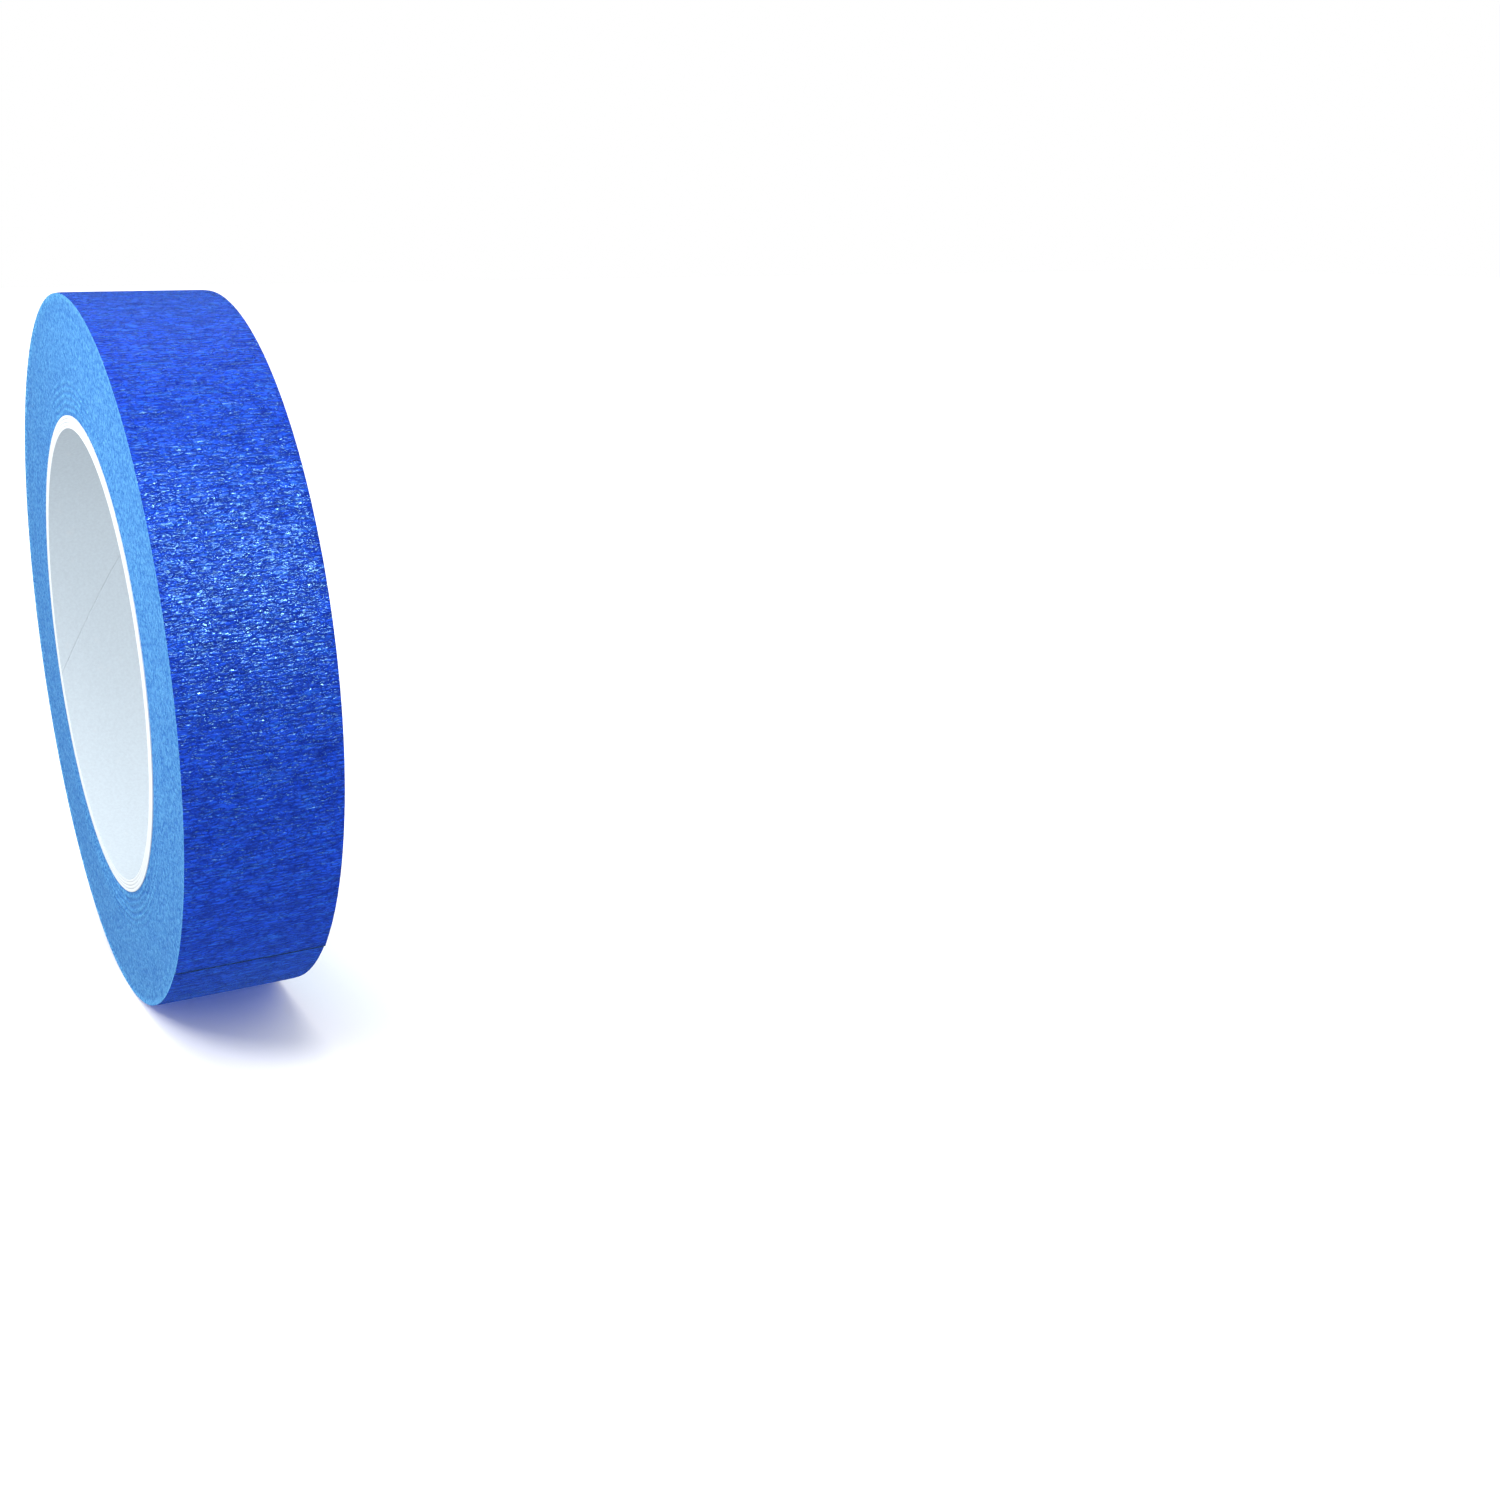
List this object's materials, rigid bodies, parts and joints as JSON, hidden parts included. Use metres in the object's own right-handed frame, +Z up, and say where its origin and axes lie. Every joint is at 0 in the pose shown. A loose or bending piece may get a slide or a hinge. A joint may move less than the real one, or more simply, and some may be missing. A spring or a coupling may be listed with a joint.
{
  "type": "masking tape roll",
  "caption": "Roll of crepe-paper masking tape wound on a round white paperboard core, with a free end that peels off the outer turn.",
  "frame": {"origin": "on the ground below the roll's axis, halfway across the tape's width", "axes": "+Z up, +Y along the roll's axis, +X towards the side where the tape's free end comes off the rim"},
  "size_m": [0.1196, 0.024, 0.1194],
  "materials": {
    "tape": "satin",
    "tail_backing": "satin",
    "adhesive": "satin",
    "core_board": "matte"
  },
  "bodies": {
    "roll": {"wound_tape": "tape", "core_liner_ply": "core_board", "core_inner_body_ply": "core_board", "core_outer_body_ply": "core_board", "core_cover_ply": "core_board"},
    "tail_1": {"tail_backing_1": "tail_backing", "tail_adhesive_1": "adhesive"},
    "tail_2": {"tail_backing_2": "tail_backing", "tail_adhesive_2": "adhesive"},
    "tail_3": {"tail_backing_3": "tail_backing", "tail_adhesive_3": "adhesive"},
    "tail_4": {"tail_backing_4": "tail_backing", "tail_adhesive_4": "adhesive"},
    "tail_5": {"tail_backing_5": "tail_backing", "tail_adhesive_5": "adhesive"},
    "tail_6": {"tail_backing_6": "tail_backing", "tail_adhesive_6": "adhesive"},
    "tail_7": {"tail_backing_7": "tail_backing", "tail_adhesive_7": "adhesive"},
    "tail_8": {"tail_backing_8": "tail_backing", "tail_adhesive_8": "adhesive"}
  },
  "joints": [
    {"name": "peel_1", "type": "hinge", "parent": "roll", "child": "tail_1", "pos_m": [0.05836, 0, 0.07266], "axis": [0, -1, 0], "range_deg": [0, 20]},
    {"name": "peel_2", "type": "hinge", "parent": "tail_1", "child": "tail_2", "pos_m": [0.05953, 0, 0.06524], "axis": [0, -1, 0], "range_deg": [0, 20]},
    {"name": "peel_3", "type": "hinge", "parent": "tail_2", "child": "tail_3", "pos_m": [0.05977, 0, 0.05773], "axis": [0, -1, 0], "range_deg": [0, 20]},
    {"name": "peel_4", "type": "hinge", "parent": "tail_3", "child": "tail_4", "pos_m": [0.05906, 0, 0.05026], "axis": [0, -1, 0], "range_deg": [0, 20]},
    {"name": "peel_5", "type": "hinge", "parent": "tail_4", "child": "tail_5", "pos_m": [0.05743, 0, 0.04293], "axis": [0, -1, 0], "range_deg": [0, 20]},
    {"name": "peel_6", "type": "hinge", "parent": "tail_5", "child": "tail_6", "pos_m": [0.05488, 0, 0.03586], "axis": [0, -1, 0], "range_deg": [0, 20]},
    {"name": "peel_7", "type": "hinge", "parent": "tail_6", "child": "tail_7", "pos_m": [0.05147, 0, 0.02917], "axis": [0, -1, 0], "range_deg": [0, 20]},
    {"name": "peel_8", "type": "hinge", "parent": "tail_7", "child": "tail_8", "pos_m": [0.04725, 0, 0.02296], "axis": [0, -1, 0], "range_deg": [0, 20]}
  ],
  "couplings": [
    {"joint": "peel_2", "follows": "peel_1", "ratio": 1},
    {"joint": "peel_3", "follows": "peel_1", "ratio": 1},
    {"joint": "peel_4", "follows": "peel_1", "ratio": 1},
    {"joint": "peel_5", "follows": "peel_1", "ratio": 1},
    {"joint": "peel_6", "follows": "peel_1", "ratio": 1},
    {"joint": "peel_7", "follows": "peel_1", "ratio": 1},
    {"joint": "peel_8", "follows": "peel_1", "ratio": 1}
  ]
}
